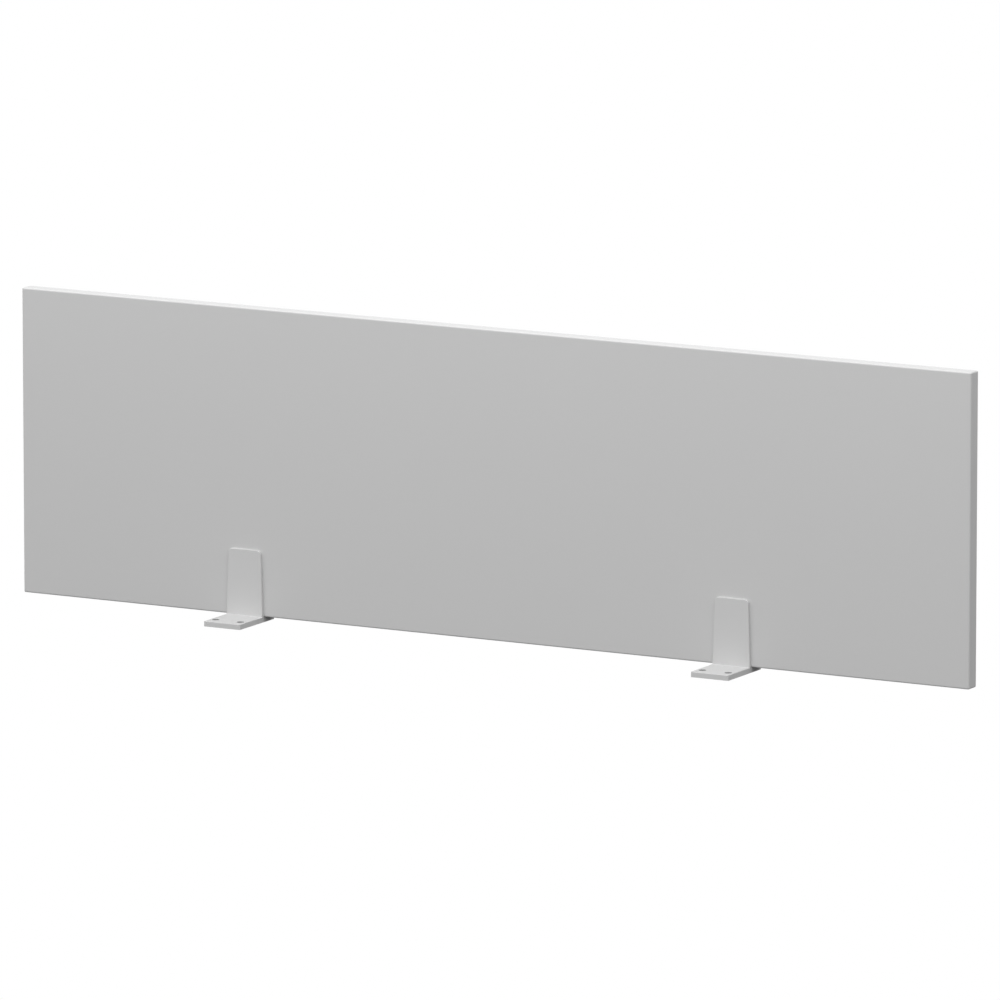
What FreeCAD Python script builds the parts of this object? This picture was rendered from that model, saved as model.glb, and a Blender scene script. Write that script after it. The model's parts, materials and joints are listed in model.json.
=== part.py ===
import FreeCAD, Part
import os

import Sketcher
from FreeCAD import Placement, Rotation, Vector

# Desk privacy panel: a laminated board that stands on two cast desk brackets.
#
# Frame: +X runs along the board, -Y points to the person at the desk and +Z is up.
# The origin is on the desk top, midway along the board and midway between the front
# and rear edges of the feet.

DIMENSIONS = {
    # Board, outside sizes
    "panel_width": 1200,
    "panel_height": 350,
    "panel_thickness": 18,
    "face_thickness": 0.3,
    "band_thickness": 2,
    "band_radius": 1.8,
    # Brackets: a foot on the desk and an upright in front of the board
    "bracket_offset": 309,
    "foot_width": 47,
    "foot_reach": 54.5,
    "foot_rear_reach": 6,
    "foot_thickness": 6,
    "foot_corner_radius": 2,
    "upright_height": 75.5,
    "upright_root_thickness": 3.7,
    "upright_top_thickness": 2.9,
    "upright_top_width": 41.3,
    "upright_corner_radius": 5,
    "root_radius": 0.6,
    "edge_radius": 0.6,
    "desk_hole_diameter": 8.5,
    "desk_hole_spacing": 32,
    "desk_hole_inset": 14.5,
    # Clamp screws through the board, with their washers
    "screw_diameter": 4,
    "screw_length": 21,
    "screw_tip_length": 0.8,
    "screw_tip_diameter": 2.8,
    "screw_head_diameter": 8,
    "screw_head_height": 2.2,
    "screw_head_rim": 0.6,
    "recess_width": 1,
    "recess_span": 4.2,
    "recess_depth": 1.3,
    "lower_screw_height": 24,
    "screw_spacing": 32,
    "clearance_diameter": 5,
    "tapped_depth": 2.4,
    "thread_allowance": 0.05,
    "washer_diameter": 12,
    "washer_bore": 4.3,
    "washer_thickness": 0.8,
    # Snap-on caps over the screw heads
    "cap_diameter": 15,
    "cap_height": 5.4,
    "cap_rim": 1.6,
    "cap_wall": 1.4,
    "cap_grip": 0.05,
}

# Places along Y and Z that several sub-parts share, as expressions over the sheet
PANEL_FRONT = "(dims.foot_reach - dims.panel_thickness - dims.foot_rear_reach) / 2"
PANEL_BACK = f"({PANEL_FRONT} + dims.panel_thickness)"
PANEL_MIDDLE = f"({PANEL_FRONT} + dims.panel_thickness / 2)"
BOARD_CENTRE_HEIGHT = "(dims.foot_thickness + dims.panel_height / 2)"
BOARD_WIDTH = "(dims.panel_width - 2 * dims.band_thickness)"
BOARD_HEIGHT = "(dims.panel_height - 2 * dims.band_thickness)"
CORE_THICKNESS = "(dims.panel_thickness - 2 * dims.face_thickness)"
FOOT_BACK = "(dims.panel_thickness + dims.foot_rear_reach)"

SIDES = {"left": "-1", "right": "1"}
LEVELS = {"lower": "0", "upper": "1"}

doc = FreeCAD.newDocument("desk_privacy_panel")


def make_sheet():
    """Write the driving dimensions into the sheet, one aliased cell each."""
    sheet = doc.addObject("Spreadsheet::Sheet", "dims")
    for row, (alias, value) in enumerate(DIMENSIONS.items(), start=1):
        sheet.set(f"A{row}", alias)
        sheet.set(f"B{row}", str(value))
        sheet.setAlias(f"B{row}", alias)
    doc.recompute()


def bind(item, **sizes):
    """Bind properties of an object to expressions over the sheet."""
    for name, expression in sizes.items():
        item.setExpression(name, expression)


def place(item, x="0", y="0", z="0", rotation=None):
    """Turn a sub-part and bind its position to expressions."""
    item.Placement = Placement(Vector(), rotation or Rotation())
    item.setExpression("Placement.Base.x", x)
    item.setExpression("Placement.Base.y", y)
    item.setExpression("Placement.Base.z", z)


def screw_x(side):
    """Distance of a bracket's centre line from the middle of the board."""
    return f"{SIDES[side]} * dims.bracket_offset"


def screw_height(level):
    """Height of a clamp screw above the board's lower edge."""
    return f"(dims.lower_screw_height + {LEVELS[level]} * dims.screw_spacing)"


# Sketches and features

def make_body(name):
    body = doc.addObject("PartDesign::Body", name)
    body.Label = name
    return body


def make_sketch(body, name, plane):
    """A sketch on one of the body's own origin planes."""
    sketch = body.newObject("Sketcher::SketchObject", name)
    support = [item for item in body.Origin.OriginFeatures if item.Role == plane]
    sketch.AttachmentSupport = [(support[0], "")]
    sketch.MapMode = "FlatFace"
    return sketch


def fix_point(sketch, geometry, point, x, y):
    """Bind a point's distances from the sketch's origin to two expressions."""
    start_x = sketch.evalExpression(x)
    start_y = sketch.evalExpression(y)
    across = sketch.addConstraint(
        Sketcher.Constraint("DistanceX", -1, 1, geometry, point, start_x))
    sketch.setExpression(f"Constraints[{across}]", x)
    along = sketch.addConstraint(
        Sketcher.Constraint("DistanceY", -1, 1, geometry, point, start_y))
    sketch.setExpression(f"Constraints[{along}]", y)


def draw_outline(sketch, corners):
    """A closed outline of straight lines through corners given as pairs of expressions."""
    points = [Vector(sketch.evalExpression(x), sketch.evalExpression(y), 0) for x, y in corners]
    lines = []
    for start, end in zip(points, points[1:] + points[:1]):
        lines.append(sketch.addGeometry(Part.LineSegment(start, end), False))
    for line, following in zip(lines, lines[1:] + lines[:1]):
        sketch.addConstraint(Sketcher.Constraint("Coincident", line, 2, following, 1))
    for line, (x, y) in zip(lines, corners):
        fix_point(sketch, line, 1, x, y)


def draw_rectangle(sketch, left, right, bottom, top):
    draw_outline(sketch, [(left, bottom), (right, bottom), (right, top), (left, top)])


def draw_centred_rectangle(sketch, width, height):
    draw_rectangle(sketch, f"-{width} / 2", f"{width} / 2", f"-{height} / 2", f"{height} / 2")


def draw_circle(sketch, x, y, diameter):
    size = sketch.evalExpression(diameter)
    centre = Vector(sketch.evalExpression(x), sketch.evalExpression(y), 0)
    circle = sketch.addGeometry(Part.Circle(centre, Vector(0, 0, 1), size / 2), False)
    bound = sketch.addConstraint(Sketcher.Constraint("Diameter", circle, size))
    sketch.setExpression(f"Constraints[{bound}]", diameter)
    fix_point(sketch, circle, 3, x, y)


def pad(body, sketch, name, length, reverse=False):
    feature = body.newObject("PartDesign::Pad", name)
    feature.Profile = sketch
    feature.Reversed = reverse
    bind(feature, Length=length)
    doc.recompute()
    return feature


def pocket(body, sketch, name, length, reverse=False, midplane=False):
    """Cut a pocket, and stop if it points away from the solid and removes nothing."""
    before = body.Shape.Volume
    feature = body.newObject("PartDesign::Pocket", name)
    feature.Profile = sketch
    feature.Reversed = reverse
    feature.Midplane = midplane
    bind(feature, Length=length)
    doc.recompute()
    if feature.Shape.Volume >= before:
        raise RuntimeError(f"{body.Label}: pocket {name} removes nothing")
    return feature


def fillet(body, base, name, radius, wanted):
    """Round the edges of the base feature that pass the test."""
    edges = [f"Edge{number}" for number, edge in enumerate(base.Shape.Edges, start=1)
             if wanted(edge.BoundBox)]
    feature = body.newObject("PartDesign::Fillet", name)
    feature.Base = (base, edges)
    bind(feature, Radius=radius)
    doc.recompute()
    return feature


# Board: core, two faces and four edge bands

def board_layer(name, thickness, y):
    """A full-size layer of the board with a clearance hole for each clamp screw."""
    body = make_body(name)
    sketch = make_sketch(body, f"{name}_outline", "XZ_Plane")
    draw_centred_rectangle(sketch, BOARD_WIDTH, BOARD_HEIGHT)
    for side in SIDES:
        for level in LEVELS:
            height = f"{screw_height(level)} - dims.panel_height / 2"
            draw_circle(sketch, screw_x(side), height, "dims.clearance_diameter")
    pad(body, sketch, f"{name}_pad", thickness, reverse=True)
    place(body, y=y, z=BOARD_CENTRE_HEIGHT)
    return body


def horizontal_band(name, z, rotation=None):
    """An edge band over the whole width, rounded on its outer face and at its ends."""
    body = make_body(name)
    sketch = make_sketch(body, f"{name}_outline", "XY_Plane")
    draw_centred_rectangle(sketch, "dims.panel_width", "dims.panel_thickness")
    strip = pad(body, sketch, f"{name}_pad", "dims.band_thickness")
    outer = DIMENSIONS["band_thickness"] / 2
    fillet(body, strip, f"{name}_rounding", "dims.band_radius",
           lambda box: box.ZMin > outer or box.ZLength > outer)
    place(body, y=PANEL_MIDDLE, z=z, rotation=rotation)
    return body


def vertical_band(name, x, rotation=None):
    """An edge band between the two horizontal ones, rounded along its outer face."""
    body = make_body(name)
    sketch = make_sketch(body, f"{name}_outline", "YZ_Plane")
    draw_centred_rectangle(sketch, "dims.panel_thickness", BOARD_HEIGHT)
    strip = pad(body, sketch, f"{name}_pad", "dims.band_thickness")
    outer = DIMENSIONS["band_thickness"] / 2
    fillet(body, strip, f"{name}_rounding", "dims.band_radius",
           lambda box: box.XMin > outer and box.ZLength > outer)
    place(body, x=x, y=PANEL_MIDDLE, z=BOARD_CENTRE_HEIGHT, rotation=rotation)
    return body


def make_board():
    core_front = f"{PANEL_FRONT} + dims.face_thickness"
    rear_front = f"{PANEL_BACK} - dims.face_thickness"
    top = "dims.foot_thickness + dims.panel_height - dims.band_thickness"
    bottom = "dims.foot_thickness + dims.band_thickness"
    end = "dims.panel_width / 2 - dims.band_thickness"
    return [
        board_layer("panel_core", CORE_THICKNESS, core_front),
        board_layer("front_face", "dims.face_thickness", PANEL_FRONT),
        board_layer("rear_face", "dims.face_thickness", rear_front),
        horizontal_band("top_band", top),
        horizontal_band("bottom_band", bottom, Rotation(Vector(1, 0, 0), 180)),
        vertical_band("right_band", end),
        vertical_band("left_band", f"-({end})", Rotation(Vector(0, 0, 1), 180)),
    ]


# Brackets, each in its own frame: on the desk, at the board's front face, mid-width

def draw_elevation(sketch):
    """Front elevation: the sides draw in from the desk to the top of the upright."""
    base = "dims.foot_width / 2"
    tip = "dims.upright_top_width / 2"
    top = "dims.foot_thickness + dims.upright_height"
    draw_outline(sketch, [(f"-{base}", "0"), (base, "0"), (tip, top), (f"-{tip}", top)])


def draw_clearances(sketch, over):
    """Side view of what is cut away above the foot, in front of the upright and behind it."""
    step = "dims.foot_thickness"
    top = f"dims.foot_thickness + dims.upright_height + {over}"
    front = f"-dims.foot_reach - {over}"
    draw_outline(sketch, [
        (front, step), ("-dims.upright_root_thickness", step),
        ("-dims.upright_top_thickness", top), (front, top),
    ])
    draw_rectangle(sketch, "0", f"{FOOT_BACK} + {over}", step, top)


def draw_desk_holes(sketch):
    for sign in SIDES.values():
        hole_x = f"{sign} * dims.desk_hole_spacing / 2"
        draw_circle(sketch, hole_x, "dims.desk_hole_inset - dims.foot_reach",
                    "dims.desk_hole_diameter")


def draw_tapping(sketch):
    for level in LEVELS:
        draw_circle(sketch, "0", f"dims.foot_thickness + {screw_height(level)}",
                    "dims.screw_diameter + dims.thread_allowance")


def round_bracket(body, base, name):
    """Round the foot's corners, the upright's corners, its root, and the rim round them all."""
    near = DIMENSIONS["edge_radius"] / 10
    foot_top = DIMENSIONS["foot_thickness"]
    upright_top = foot_top + DIMENSIONS["upright_height"]
    upright_front = -DIMENSIONS["upright_root_thickness"]
    foot_front = -DIMENSIONS["foot_reach"]
    full_width = DIMENSIONS["upright_top_width"] - near
    rounded = fillet(body, base, f"{name}_foot_corners", "dims.foot_corner_radius",
                     lambda box: box.ZMin < near and box.ZLength > near and box.YLength < near)
    rounded = fillet(body, rounded, f"{name}_upright_corners", "dims.upright_corner_radius",
                     lambda box: box.ZMin > upright_top - near and box.XLength < near)
    rounded = fillet(body, rounded, f"{name}_root", "dims.root_radius",
                     lambda box: abs(box.YMin - upright_front) < near
                     and abs(box.ZMin - foot_top) < near and box.XLength > full_width)
    fillet(body, rounded, f"{name}_rim", "dims.edge_radius",
           lambda box: abs(box.YMin - foot_front) < near and box.YLength < near
           and box.ZMin > foot_top - near)


def make_bracket(side):
    """Foot and upright in one casting, with two blind tapped holes in the upright's back."""
    name = f"{side}_bracket"
    body = make_body(name)
    over = "dims.foot_thickness"
    elevation = make_sketch(body, f"{name}_elevation", "XZ_Plane")
    elevation.setExpression("AttachmentOffset.Base.z", f"-{FOOT_BACK}")
    draw_elevation(elevation)
    pad(body, elevation, f"{name}_block", f"dims.foot_reach + {FOOT_BACK}")
    side_view = make_sketch(body, f"{name}_side_view", "YZ_Plane")
    draw_clearances(side_view, over)
    casting = pocket(body, side_view, f"{name}_clearances", f"dims.foot_width + {over}",
                     midplane=True)
    round_bracket(body, casting, name)
    desk_holes = make_sketch(body, f"{name}_desk_holes_plan", "XY_Plane")
    draw_desk_holes(desk_holes)
    pocket(body, desk_holes, f"{name}_desk_holes", f"dims.foot_thickness + {over}", reverse=True)
    tapping = make_sketch(body, f"{name}_tapping", "XZ_Plane")
    draw_tapping(tapping)
    pocket(body, tapping, f"{name}_tapped_holes", "dims.tapped_depth", reverse=True)
    place(body, x=screw_x(side), y=PANEL_FRONT)
    return body


# Fasteners, each drawn along +Z from the face that it seats on

def primitive(kind, name, **sizes):
    item = doc.addObject(f"Part::{kind}", name)
    bind(item, **sizes)
    return item


def combine(kind, name, shapes):
    item = doc.addObject(f"Part::{kind}", name)
    item.Shapes = shapes
    return item


def cut(name, base, tool):
    item = doc.addObject("Part::Cut", name)
    item.Base = base
    item.Tool = tool
    return item


def dome(name, diameter, height, rim):
    """A round button with an upright rim and a spherical crown."""
    crown = f"({height} - ({rim}))"
    radius = f"({diameter} / 2)"
    ball_radius = f"(({radius} ^ 2 + {crown} ^ 2) / (2 * {crown}))"
    barrel = primitive("Cylinder", f"{name}_barrel", Radius=radius, Height=height)
    ball = primitive("Sphere", f"{name}_ball", Radius=ball_radius)
    place(ball, z=f"{height} - {ball_radius}")
    return combine("MultiCommon", f"{name}_dome", [barrel, ball])


def make_screw(name):
    """A machine screw with a low round head, a cross recess and a chamfered tip."""
    head = dome(f"{name}_head", "dims.screw_head_diameter", "dims.screw_head_height",
                "dims.screw_head_rim")
    shank_length = "(dims.screw_length - dims.screw_tip_length)"
    shank = primitive("Cylinder", f"{name}_shank", Radius="dims.screw_diameter / 2",
                      Height=shank_length)
    place(shank, z=f"-{shank_length}")
    tip = primitive("Cone", f"{name}_tip", Radius1="dims.screw_tip_diameter / 2",
                    Radius2="dims.screw_diameter / 2", Height="dims.screw_tip_length")
    place(tip, z="-dims.screw_length")
    blank = combine("MultiFuse", f"{name}_blank", [head, shank, tip])
    slots = []
    for axis, length, width in (("along", "dims.recess_span", "dims.recess_width"),
                                ("across", "dims.recess_width", "dims.recess_span")):
        slot = primitive("Box", f"{name}_slot_{axis}", Length=length, Width=width,
                         Height="dims.recess_depth * 2")
        place(slot, x=f"-{length} / 2", y=f"-{width} / 2",
              z="dims.screw_head_height - dims.recess_depth")
        slots.append(slot)
    recess = combine("MultiFuse", f"{name}_recess", slots)
    return cut(name, blank, recess)


def make_washer(name):
    """A flat washer that spreads the screw head's load on the board."""
    body = make_body(name)
    sketch = make_sketch(body, f"{name}_ring", "XY_Plane")
    draw_circle(sketch, "0", "0", "dims.washer_diameter")
    draw_circle(sketch, "0", "0", "dims.washer_bore")
    pad(body, sketch, f"{name}_pad", "dims.washer_thickness")
    return body


def make_cap(name):
    """A hollow domed cap whose rim grips the washer."""
    shell = dome(f"{name}_outside", "dims.cap_diameter", "dims.cap_height", "dims.cap_rim")
    hollow = dome(f"{name}_inside", "(dims.washer_diameter + 2 * dims.cap_grip)",
                  "(dims.cap_height - dims.cap_wall)", "dims.washer_thickness")
    return cut(name, shell, hollow)


def make_fasteners():
    """A screw, its washer and its cap at each of the four clamp points."""
    facing_rear = Rotation(Vector(1, 0, 0), -90)
    pieces = []
    for side in SIDES:
        for level in LEVELS:
            point = f"{side}_{level}"
            height = f"dims.foot_thickness + {screw_height(level)}"
            screw = make_screw(f"{point}_screw")
            washer = make_washer(f"{point}_washer")
            cap = make_cap(f"{point}_cap")
            place(screw, screw_x(side), f"{PANEL_BACK} + dims.washer_thickness", height,
                  facing_rear)
            place(washer, screw_x(side), PANEL_BACK, height, facing_rear)
            place(cap, screw_x(side), PANEL_BACK, height, facing_rear)
            pieces += [screw, washer, cap]
    return pieces


# Checks and export

def check(parts):
    """Stop if any object failed, or if a sub-part is not one valid solid."""
    for item in doc.Objects:
        if "Invalid" in item.State or "Error" in item.State:
            raise RuntimeError(f"{item.Label} failed to recompute: {item.State}")
    for part in parts:
        shape = part.Shape
        if shape.isNull() or not shape.isValid() or len(shape.Solids) != 1:
            raise RuntimeError(f"{part.Label} is not one valid solid")


def export(parts):
    os.makedirs("parts", exist_ok=True)
    for part in parts:
        part.Shape.exportStep(os.path.join("parts", f"{part.Label}.step"))
        box = part.Shape.BoundBox
        print(f"{part.Label}: {part.Shape.Volume:.1f} mm3, "
              f"x {box.XMin:.2f}..{box.XMax:.2f}, y {box.YMin:.2f}..{box.YMax:.2f}, "
              f"z {box.ZMin:.2f}..{box.ZMax:.2f}")


make_sheet()
sub_parts = make_board()
sub_parts += [make_bracket(side) for side in SIDES]
sub_parts += make_fasteners()
doc.recompute()
check(sub_parts)
export(sub_parts)
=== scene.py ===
import json
import math

import bpy
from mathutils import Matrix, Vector


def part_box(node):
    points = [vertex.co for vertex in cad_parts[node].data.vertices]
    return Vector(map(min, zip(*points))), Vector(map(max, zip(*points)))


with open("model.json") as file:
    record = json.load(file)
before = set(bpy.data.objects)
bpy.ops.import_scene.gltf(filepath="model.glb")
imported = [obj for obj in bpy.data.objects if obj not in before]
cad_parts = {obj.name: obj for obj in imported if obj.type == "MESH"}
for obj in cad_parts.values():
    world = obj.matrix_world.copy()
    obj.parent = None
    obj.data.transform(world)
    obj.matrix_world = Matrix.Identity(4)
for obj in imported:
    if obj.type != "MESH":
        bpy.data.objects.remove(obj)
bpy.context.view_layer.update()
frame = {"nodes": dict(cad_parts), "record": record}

# Looks of the desk privacy panel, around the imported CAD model.  Metres, in the model's frame.

# Camera, as turned round and set back from the board's centre
CAMERA_AZIMUTH = 28.89
CAMERA_ELEVATION = 10.15
CAMERA_DISTANCE = 13.615
CAMERA_LENS = 441.74
AIM_ACROSS = 0.0121
AIM_DOWN = 0.0173

# Finishes, as shares of light returned
BOARD_GREY = 0.60
BAND_GREY = 0.60
BRACKET_GREY = 0.61
CAP_GREY = 0.60
# Painted shade: the darker grey of the desk-screw hole walls, standing for the shade inside the
# holes
HOLE_SHADE_GREY = 0.38
DRILL_MARGIN = 0.00005

# Studio: the floor and the strip of painted shade on it, the dome and the soft light
FLOOR_HALF = 30.0
FLOOR_HEIGHT = -0.0002
FLOOR_WHITE = 1.0
SHADE_HEIGHT = -0.0001
SHADE_DEPTH = 0.06
SHADE_LEVEL = 0.02
SKY_LEVEL = 0.40
SKY_SLOPE = Vector((0.0, -0.77, 0.40))
REAR_SLOPE = 0.69
GROUND_LEVEL = 0.20
HORIZON_BLUR = 0.01
SOFTBOX_POWER = 13.4
SOFTBOX_SIZE = (3.0, 1.6)
SOFTBOX_DISTANCE = 0.8
SOFTBOX_DIRECTION = Vector((0.0, -0.15, 1.0))


# Node helpers

def new_material(name):
    """A material with its Principled shader, and its node tree."""
    material = bpy.data.materials.new(name)
    material.use_nodes = True
    tree = material.node_tree
    shader = next(node for node in tree.nodes if node.type == "BSDF_PRINCIPLED")
    return material, tree, shader


def add_node(tree, kind, settings=None, **inputs):
    """A node with its settings and its unlinked inputs; a linked input gets a socket."""
    node = tree.nodes.new(kind)
    for name, value in (settings or {}).items():
        setattr(node, name, value)
    for name, value in inputs.items():
        socket = node.inputs[name.replace("_", " ")]
        if isinstance(value, bpy.types.NodeSocket):
            tree.links.new(value, socket)
        else:
            socket.default_value = value
    return node


def grey(value):
    return (value, value, value, 1.0)


def object_space(tree, stretch=(1.0, 1.0, 1.0)):
    """Coordinates in metres, the same in every view; a small stretch draws the grain out."""
    place = add_node(tree, "ShaderNodeTexCoord").outputs["Object"]
    return add_node(tree, "ShaderNodeMapping", Vector=place, Scale=stretch).outputs["Vector"]


def noise(tree, place, grain, detail=2.0):
    """Noise from 0 to 1 whose features are about one grain across, in metres."""
    return add_node(tree, "ShaderNodeTexNoise", Vector=place, Scale=1.0 / grain,
                    Detail=detail).outputs["Fac"]


def spread(tree, value, low, high):
    """Map a value of 0..1 to low..high."""
    return add_node(tree, "ShaderNodeMapRange", Value=value, To_Min=low,
                    To_Max=high).outputs["Result"]


def calculate(tree, operation, *values):
    """A maths node over sockets and numbers."""
    node = add_node(tree, "ShaderNodeMath", {"operation": operation})
    for socket, value in zip(node.inputs, values):
        if isinstance(value, bpy.types.NodeSocket):
            tree.links.new(value, socket)
        else:
            socket.default_value = value
    return node.outputs["Value"]


def multiply(tree, first, second):
    return calculate(tree, "MULTIPLY", first, second)


def blend(tree, share, first, second):
    """From the first value, where the share is 0, to the second, where it is 1."""
    node = add_node(tree, "ShaderNodeMix", Factor=share)
    tree.links.new(first, node.inputs["A"])
    tree.links.new(second, node.inputs["B"])
    return node.outputs["Result"]


def as_colour(tree, value, warmth=0.0):
    """A grey from a value, with a little more red and less blue when warm."""
    node = add_node(tree, "ShaderNodeCombineColor", Green=value)
    tree.links.new(multiply(tree, value, 1.0 + warmth), node.inputs["Red"])
    tree.links.new(multiply(tree, value, 1.0 - warmth), node.inputs["Blue"])
    return node.outputs["Color"]


def bump(tree, height, depth, strength=1.0):
    """Surface relief of a given depth in metres."""
    return add_node(tree, "ShaderNodeBump", Height=height, Distance=depth,
                    Strength=strength).outputs["Normal"]


def finish_surface(tree, shader, colour, roughness, normal, specular):
    tree.links.new(colour, shader.inputs["Base Color"])
    tree.links.new(roughness, shader.inputs["Roughness"])
    tree.links.new(normal, shader.inputs["Normal"])
    shader.inputs["Specular IOR Level"].default_value = specular


# Materials

def melamine():
    """Light grey laminate: a pearl grain pressed into the film, and faint clouding."""
    material, tree, shader = new_material("melamine")
    place = object_space(tree)
    pearl = noise(tree, place, 0.0006, 3.0)
    cloud = noise(tree, place, 0.15)
    shade = multiply(tree, spread(tree, pearl, 0.985, 1.015), spread(tree, cloud, 0.994, 1.006))
    colour = as_colour(tree, multiply(tree, shade, BOARD_GREY))
    roughness = spread(tree, noise(tree, place, 0.0015), 0.46, 0.56)
    finish_surface(tree, shader, colour, roughness, bump(tree, pearl, 0.00002), 0.35)
    return material


def edge_band(name, stretch):
    """Matching plastic edging, with the faint lengthwise marks of the scraper."""
    material, tree, shader = new_material(name)
    along = object_space(tree, stretch)
    scraped = noise(tree, along, 0.0008, 3.0)
    grain = noise(tree, object_space(tree), 0.0004)
    shade = multiply(tree, spread(tree, scraped, 0.99, 1.01), spread(tree, grain, 0.992, 1.008))
    colour = as_colour(tree, multiply(tree, shade, BAND_GREY))
    roughness = spread(tree, scraped, 0.40, 0.52)
    finish_surface(tree, shader, colour, roughness, bump(tree, scraped, 0.00001), 0.35)
    return material


def drilled(tree):
    """1 on the walls of the desk-screw holes, where shade is painted, and 0 elsewhere, by the
    distance from their axes.
    """
    holes = next(m for m in frame["record"]["mounts"] if m["name"] == "right_foot_holes")
    bracket_x, row_y, _ = holes["pos_m"]
    half_spacing = holes["dims"]["spacing_x_mm"] / 2000
    wall = holes["dims"]["hole_r_mm"] / 1000 + DRILL_MARGIN
    place = add_node(tree, "ShaderNodeSeparateXYZ", Vector=object_space(tree)).outputs
    from_bracket = calculate(tree, "SUBTRACT", calculate(tree, "ABSOLUTE", place["X"]), bracket_x)
    across = calculate(tree, "SUBTRACT", calculate(tree, "ABSOLUTE", from_bracket), half_spacing)
    along = calculate(tree, "SUBTRACT", place["Y"], row_y)
    squares = calculate(tree, "ADD", multiply(tree, across, across), multiply(tree, along, along))
    return calculate(tree, "LESS_THAN", squares, wall ** 2)


def powder_coat():
    """Light grey powder coat on a casting, with orange peel and speckle, and painted shade, a
    darker grey, on the walls of the desk-screw holes.
    """
    material, tree, shader = new_material("powder_coat")
    place = object_space(tree)
    peel = noise(tree, place, 0.0018, 2.0)
    speckle = noise(tree, place, 0.0004, 1.0)
    # Painted shade: the walls of the desk-screw holes get a darker grey, and a smoother finish, in
    # place of the shade inside them
    hole_shade = drilled(tree)
    turned = noise(tree, object_space(tree, (0.2, 0.2, 1.0)), 0.0003)
    paint = multiply(tree, spread(tree, speckle, 0.97, 1.03), BRACKET_GREY)
    hole_shade_colour = multiply(tree, spread(tree, turned, 0.85, 1.15), HOLE_SHADE_GREY)
    colour = as_colour(tree, blend(tree, hole_shade, paint, hole_shade_colour))
    roughness = blend(tree, hole_shade, spread(tree, peel, 0.66, 0.80), spread(tree, turned, 0.4, 0.5))
    finish_surface(tree, shader, colour, roughness, bump(tree, peel, 0.00005), 0.10)
    return material


def chipboard():
    """Pressed chips in several browns, seen only where the board is drilled."""
    material, tree, shader = new_material("chipboard")
    place = object_space(tree, (1.0, 1.0, 2.5))
    chips = add_node(tree, "ShaderNodeTexVoronoi", Vector=place, Scale=400.0)
    ramp = add_node(tree, "ShaderNodeValToRGB", Fac=chips.outputs["Distance"])
    ramp.color_ramp.elements[0].color = (0.30, 0.20, 0.11, 1.0)
    ramp.color_ramp.elements[1].color = (0.66, 0.50, 0.32, 1.0)
    grain = noise(tree, place, 0.001, 4.0)
    roughness = spread(tree, grain, 0.75, 0.95)
    relief = bump(tree, chips.outputs["Distance"], 0.0002)
    finish_surface(tree, shader, ramp.outputs["Color"], roughness, relief, 0.2)
    return material


def zinc():
    """Bright zinc plating over turned steel."""
    material, tree, shader = new_material("zinc")
    place = object_space(tree)
    crystal = noise(tree, place, 0.0005, 3.0)
    colour = as_colour(tree, spread(tree, crystal, 0.60, 0.72), 0.02)
    roughness = spread(tree, crystal, 0.22, 0.36)
    shader.inputs["Metallic"].default_value = 1.0
    finish_surface(tree, shader, colour, roughness, bump(tree, crystal, 0.00001), 0.5)
    return material


def cap_plastic():
    """Moulded light grey plastic with a fine spark-eroded texture."""
    material, tree, shader = new_material("cap_plastic")
    place = object_space(tree)
    grain = noise(tree, place, 0.0003, 2.0)
    colour = as_colour(tree, multiply(tree, spread(tree, grain, 0.985, 1.015), CAP_GREY))
    roughness = spread(tree, noise(tree, place, 0.002), 0.40, 0.50)
    finish_surface(tree, shader, colour, roughness, bump(tree, grain, 0.00001), 0.4)
    return material


def dress(names, material):
    """Give CAD nodes a material."""
    for name in names:
        node = frame["nodes"][name]
        node.data.materials.clear()
        node.data.materials.append(material)


def dress_all():
    clamp_points = [f"{side}_{level}" for side in ("left", "right") for level in ("lower", "upper")]
    dress(["front_face", "rear_face"], melamine())
    dress(["top_band", "bottom_band"], edge_band("band_along_x", (0.02, 1.0, 1.0)))
    dress(["left_band", "right_band"], edge_band("band_along_z", (1.0, 1.0, 0.02)))
    dress(["panel_core"], chipboard())
    dress(["left_bracket", "right_bracket"], powder_coat())
    steel = zinc()
    dress([f"{point}_screw" for point in clamp_points], steel)
    dress([f"{point}_washer" for point in clamp_points], steel)
    dress([f"{point}_cap" for point in clamp_points], cap_plastic())


dress_all()


# Studio

def glowing_sheet(name, left, right, front, back, height, strength):
    """A level sheet that glows evenly and casts no shadow."""
    mesh = bpy.data.meshes.new(name)
    corners = [(left, front, height), (right, front, height),
               (right, back, height), (left, back, height)]
    mesh.from_pydata(corners, [], [(0, 1, 2, 3)])
    sheet = bpy.data.objects.new(name, mesh)
    bpy.context.scene.collection.objects.link(sheet)
    material = bpy.data.materials.new(name)
    material.use_nodes = True
    tree = material.node_tree
    tree.nodes.clear()
    glow = add_node(tree, "ShaderNodeEmission", Color=grey(1.0), Strength=strength)
    add_node(tree, "ShaderNodeOutputMaterial", Surface=glow.outputs["Emission"])
    mesh.materials.append(material)
    sheet.visible_shadow = False
    return sheet


def make_floor():
    h = FLOOR_HALF
    floor = glowing_sheet("floor", -h, h, -h, h, FLOOR_HEIGHT, FLOOR_WHITE)
    floor.visible_diffuse = False
    floor.visible_glossy = False


def make_shade():
    """Painted shade under the board: a dim strip of floor, unseen by the camera, for the shade that
    the floor itself, evenly white, can't show.
    """
    low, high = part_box("bottom_band")
    back = low.y + SHADE_DEPTH
    shade = glowing_sheet("shade", low.x, high.x, low.y, back, SHADE_HEIGHT, SHADE_LEVEL)
    shade.visible_camera = False


def positive_part(tree, value):
    return calculate(tree, "MAXIMUM", value, 0.0)


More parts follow.
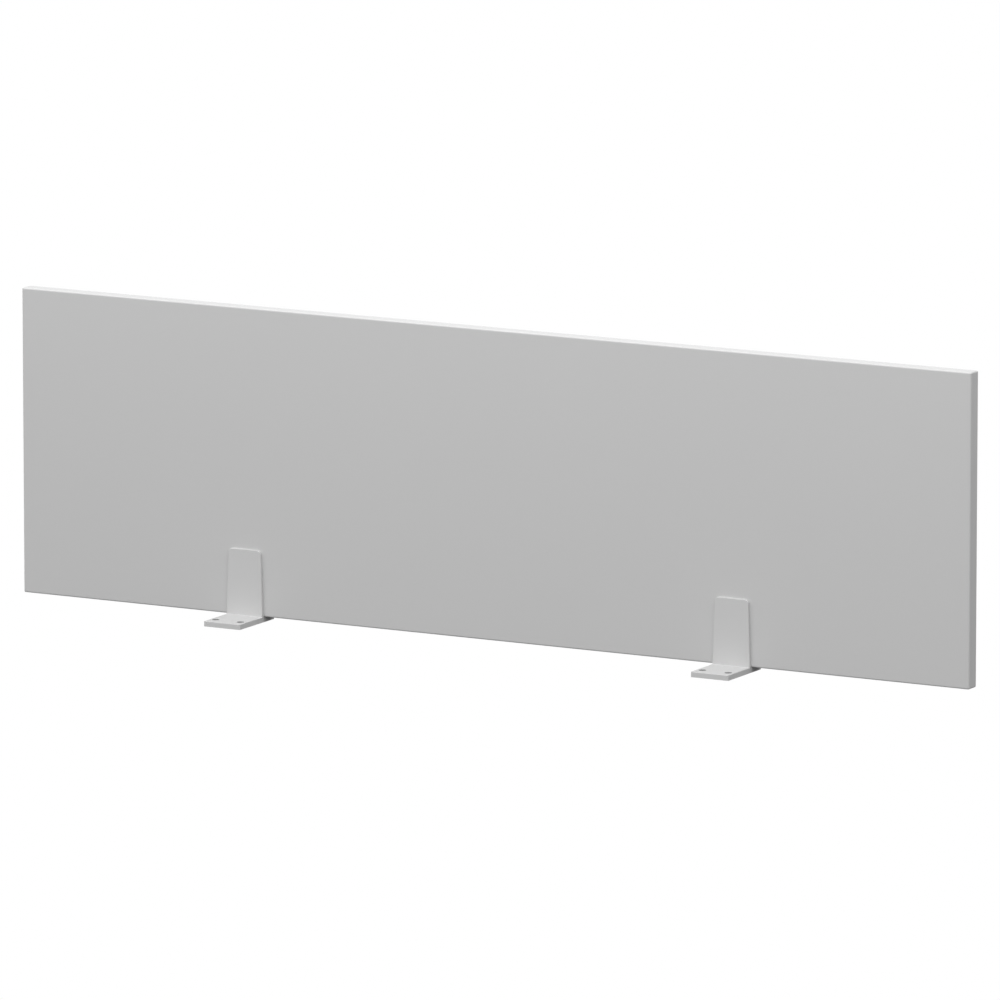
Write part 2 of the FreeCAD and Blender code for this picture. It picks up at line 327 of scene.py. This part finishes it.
def make_world():
    """A soft dome, brightest towards the front and next towards the back, over a dim ground."""
    world = bpy.data.worlds.new("studio")
    bpy.context.scene.world = world
    world.use_nodes = True
    tree = world.node_tree
    tree.nodes.clear()
    direction = add_node(tree, "ShaderNodeTexCoord").outputs["Generated"]
    slope = add_node(tree, "ShaderNodeVectorMath", {"operation": "DOT_PRODUCT"})
    tree.links.new(direction, slope.inputs[0])
    slope.inputs[1].default_value = SKY_SLOPE
    front = positive_part(tree, calculate(tree, "ADD", slope.outputs["Value"], SKY_LEVEL))
    split = add_node(tree, "ShaderNodeSeparateXYZ", Vector=direction).outputs
    rear = multiply(tree, positive_part(tree, split["Y"]), REAR_SLOPE)
    share = add_node(tree, "ShaderNodeMapRange", {"interpolation_type": "SMOOTHSTEP"},
                     Value=split["Z"], From_Min=-HORIZON_BLUR,
                     From_Max=HORIZON_BLUR).outputs["Result"]
    above = multiply(tree, share, calculate(tree, "ADD", front, rear))
    below = multiply(tree, calculate(tree, "SUBTRACT", 1.0, share), GROUND_LEVEL)
    strength = calculate(tree, "ADD", above, below)
    background = add_node(tree, "ShaderNodeBackground", Color=grey(1.0), Strength=strength)
    add_node(tree, "ShaderNodeOutputWorld", Surface=background.outputs["Background"])


def make_softbox():
    """A large soft light over the board, near enough to fade a little towards the desk."""
    light = bpy.data.lights.new("softbox", "AREA")
    light.shape = "RECTANGLE"
    light.size, light.size_y = SOFTBOX_SIZE
    light.energy = SOFTBOX_POWER
    softbox = bpy.data.objects.new("softbox", light)
    bpy.context.scene.collection.objects.link(softbox)
    direction = SOFTBOX_DIRECTION.normalized()
    softbox.location = board_centre() + direction * SOFTBOX_DISTANCE
    softbox.rotation_mode = "QUATERNION"
    softbox.rotation_quaternion = direction.to_track_quat("Z", "Y")
    softbox.visible_camera = False


def board_centre():
    low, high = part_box("panel_core")
    return (low + high) / 2


def make_camera():
    data = bpy.data.cameras.new("camera")
    data.lens = CAMERA_LENS
    data.clip_end = 10 * CAMERA_DISTANCE
    camera = bpy.data.objects.new("camera", data)
    bpy.context.scene.collection.objects.link(camera)
    azimuth = math.radians(CAMERA_AZIMUTH)
    elevation = math.radians(CAMERA_ELEVATION)
    back = Vector((math.sin(azimuth) * math.cos(elevation),
                   -math.cos(azimuth) * math.cos(elevation),
                   math.sin(elevation)))
    aim = board_centre() + Vector((AIM_ACROSS, 0.0, -AIM_DOWN))
    camera.location = aim + back * CAMERA_DISTANCE
    camera.rotation_mode = "QUATERNION"
    camera.rotation_quaternion = back.to_track_quat("Z", "Y")
    bpy.context.scene.camera = camera


make_floor()
make_shade()
make_world()
make_softbox()
make_camera()
scene = bpy.context.scene
scene.view_settings.view_transform = "Standard"
